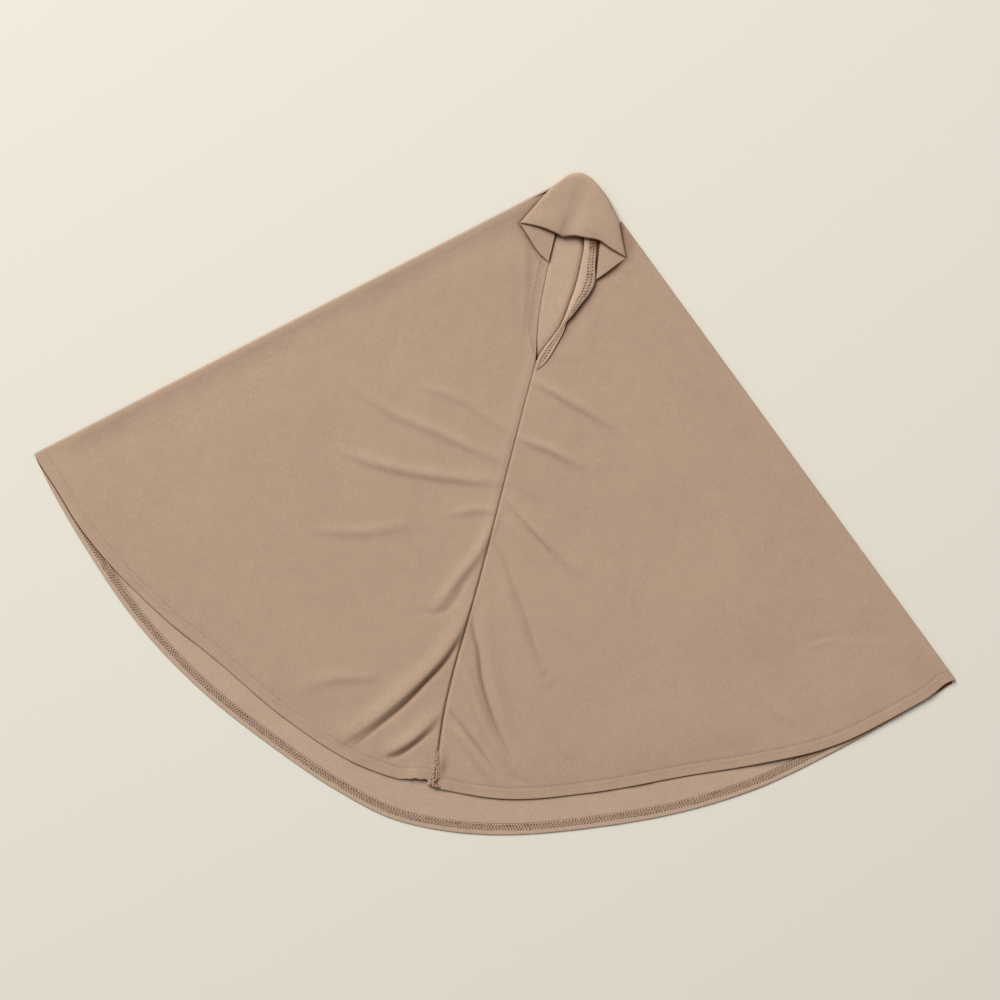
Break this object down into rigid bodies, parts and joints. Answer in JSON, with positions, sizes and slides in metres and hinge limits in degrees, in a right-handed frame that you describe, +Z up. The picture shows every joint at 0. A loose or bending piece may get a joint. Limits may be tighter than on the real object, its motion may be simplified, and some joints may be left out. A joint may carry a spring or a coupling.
{
  "type": "instant hijab",
  "caption": "Pull-on hijab of fine plain jersey, laid flat front up: quarter-circle drape with a front seam, hemmed edge, narrow face opening and a crown folded forward.",
  "frame": {"origin": "middle of the bounding box at its underside, on the surface that the garment lies on", "axes": "+Z up out of the surface, through the front layer; +Y from the hem to the crown; +X to the right as seen from above, which is the wearer's left"},
  "size_m": [1.0448, 0.7396, 0.0166],
  "materials": {
    "jersey_outside": "matte fine jersey, face side, soft peach-skin hand",
    "jersey_inside": "matte fine jersey, inner side, a little lighter",
    "jersey_hem": "matte fine jersey, turned twice and coverstitched in matching thread"
  },
  "bodies": {
    "root": {"back_panel": "jersey_inside", "back_hem": "jersey_inside", "front_left_panel": "jersey_outside", "front_right_panel": "jersey_outside", "front_left_hem": "jersey_hem", "front_right_hem": "jersey_hem", "left_side_fold": "jersey_outside", "right_side_fold": "jersey_outside", "front_seam": "jersey_hem", "seam_gather": "jersey_hem", "face_band_left": "jersey_hem", "face_band_right": "jersey_hem", "hood_peak": "jersey_outside", "left_peak_pleat": "jersey_outside", "right_peak_pleat": "jersey_outside"}
  },
  "joints": []
}
